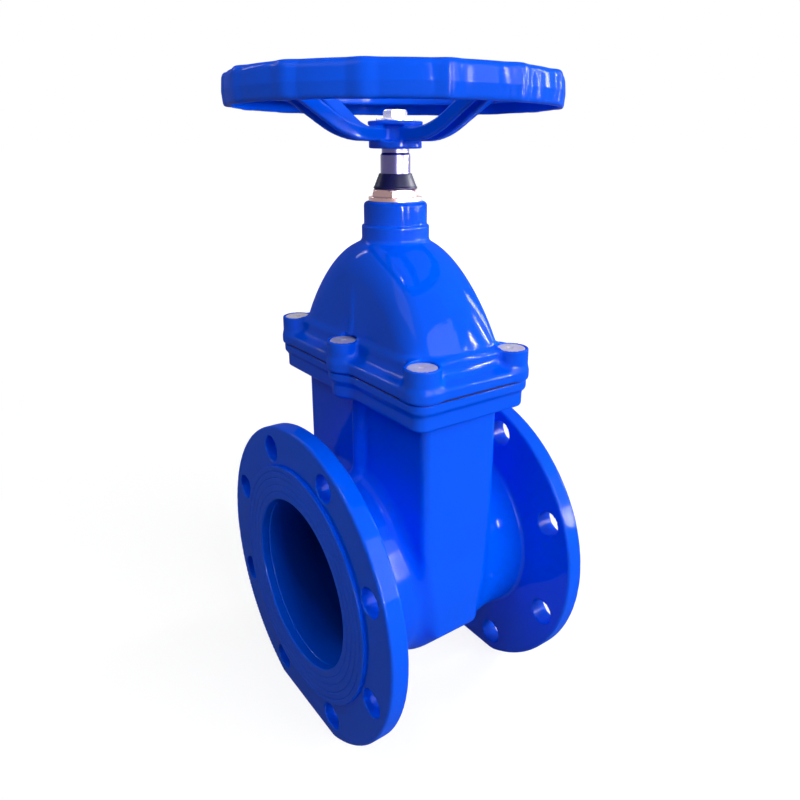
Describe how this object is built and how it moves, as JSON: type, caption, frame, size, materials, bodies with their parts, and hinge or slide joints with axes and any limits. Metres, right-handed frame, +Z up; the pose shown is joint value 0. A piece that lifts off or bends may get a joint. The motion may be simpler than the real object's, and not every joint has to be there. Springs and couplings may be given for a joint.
{
  "type": "gate valve",
  "caption": "Flanged iron gate valve with a domed bolted bonnet and a top handwheel that lifts a rubber-covered wedge gate out of the round pipe way.",
  "frame": {"origin": "on the floor midway between the flange feet, under the stem axis", "axes": "+Z up along the stem axis; +X along the pipe; the pipe way axis is 131 mm above the origin"},
  "size_m": [0.261, 0.28, 0.5469],
  "materials": {
    "blue_coating": "glossy blue fusion-bonded coating on cast iron",
    "black_rubber": "matt black rubber",
    "gland_brass": "turned brass",
    "stainless_stem": "turned stainless steel",
    "zinc_steel": "bright zinc plate",
    "rubber_covered_iron": "black rubber bonded over an iron core",
    "grey_wax": "translucent grey sealing wax"
  },
  "bodies": {
    "valve": {"valve_body": "blue_coating", "bonnet": "blue_coating", "bonnet_gasket": "black_rubber", "bonnet_bolt_1": "zinc_steel", "bonnet_bolt_2": "zinc_steel", "bonnet_bolt_3": "zinc_steel", "bonnet_bolt_4": "zinc_steel", "bonnet_bolt_5": "zinc_steel", "bonnet_bolt_6": "zinc_steel", "bolt_seal_1": "grey_wax", "bolt_seal_2": "grey_wax", "bolt_seal_3": "grey_wax", "bolt_seal_4": "grey_wax", "bolt_seal_5": "grey_wax", "bolt_seal_6": "grey_wax", "gland_nut": "gland_brass", "dust_cap": "black_rubber"},
    "spindle": {"stem": "stainless_stem", "handwheel": "blue_coating", "wheel_washer": "zinc_steel", "wheel_bolt": "zinc_steel"},
    "gate": {"wedge": "rubber_covered_iron", "wedge_nut": "gland_brass"}
  },
  "joints": [
    {"name": "wheel_turn", "type": "hinge", "parent": "valve", "child": "spindle", "pos_m": [0, 0, 0.5], "axis": [0, 0, 1], "range_deg": [0, 9240]},
    {"name": "gate_lift", "type": "slide", "parent": "valve", "child": "gate", "axis": [0, 0, 1], "range_m": [0, 0.154]}
  ],
  "couplings": [
    {"joint": "gate_lift", "follows": "wheel_turn", "m_per_rad": 0.00095493}
  ]
}
